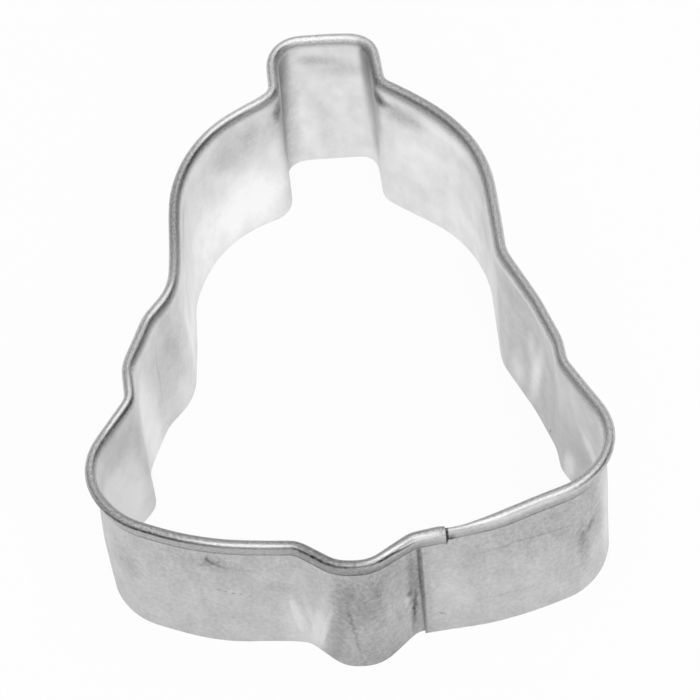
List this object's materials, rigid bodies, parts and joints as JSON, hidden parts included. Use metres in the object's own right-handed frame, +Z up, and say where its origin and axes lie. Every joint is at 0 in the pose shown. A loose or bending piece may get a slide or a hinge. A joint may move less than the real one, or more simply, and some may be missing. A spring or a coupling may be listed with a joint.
{
  "type": "cookie cutter",
  "caption": "Bell-shaped strip cookie cutter: an open tinplate band with a rolled upper hem and a lapped, spot-welded seam, pressed into rolled dough by hand.",
  "frame": {"origin": "under the middle of the overall box, on the plane of the cutting edge", "axes": "+X across the bell, to the right with the handle away from the viewer; +Y from the clapper to the handle; +Z up from the cutting edge to the rolled hem"},
  "size_m": [0.0508, 0.0602, 0.0222],
  "materials": {
    "tinplate": "satin tinplate, lightly scuffed",
    "weld": "dull, pressed by the welding tip"
  },
  "bodies": {
    "root": {"band_strip": "tinplate", "weld_spot_middle": "weld", "weld_spot_lower": "weld"}
  },
  "joints": []
}
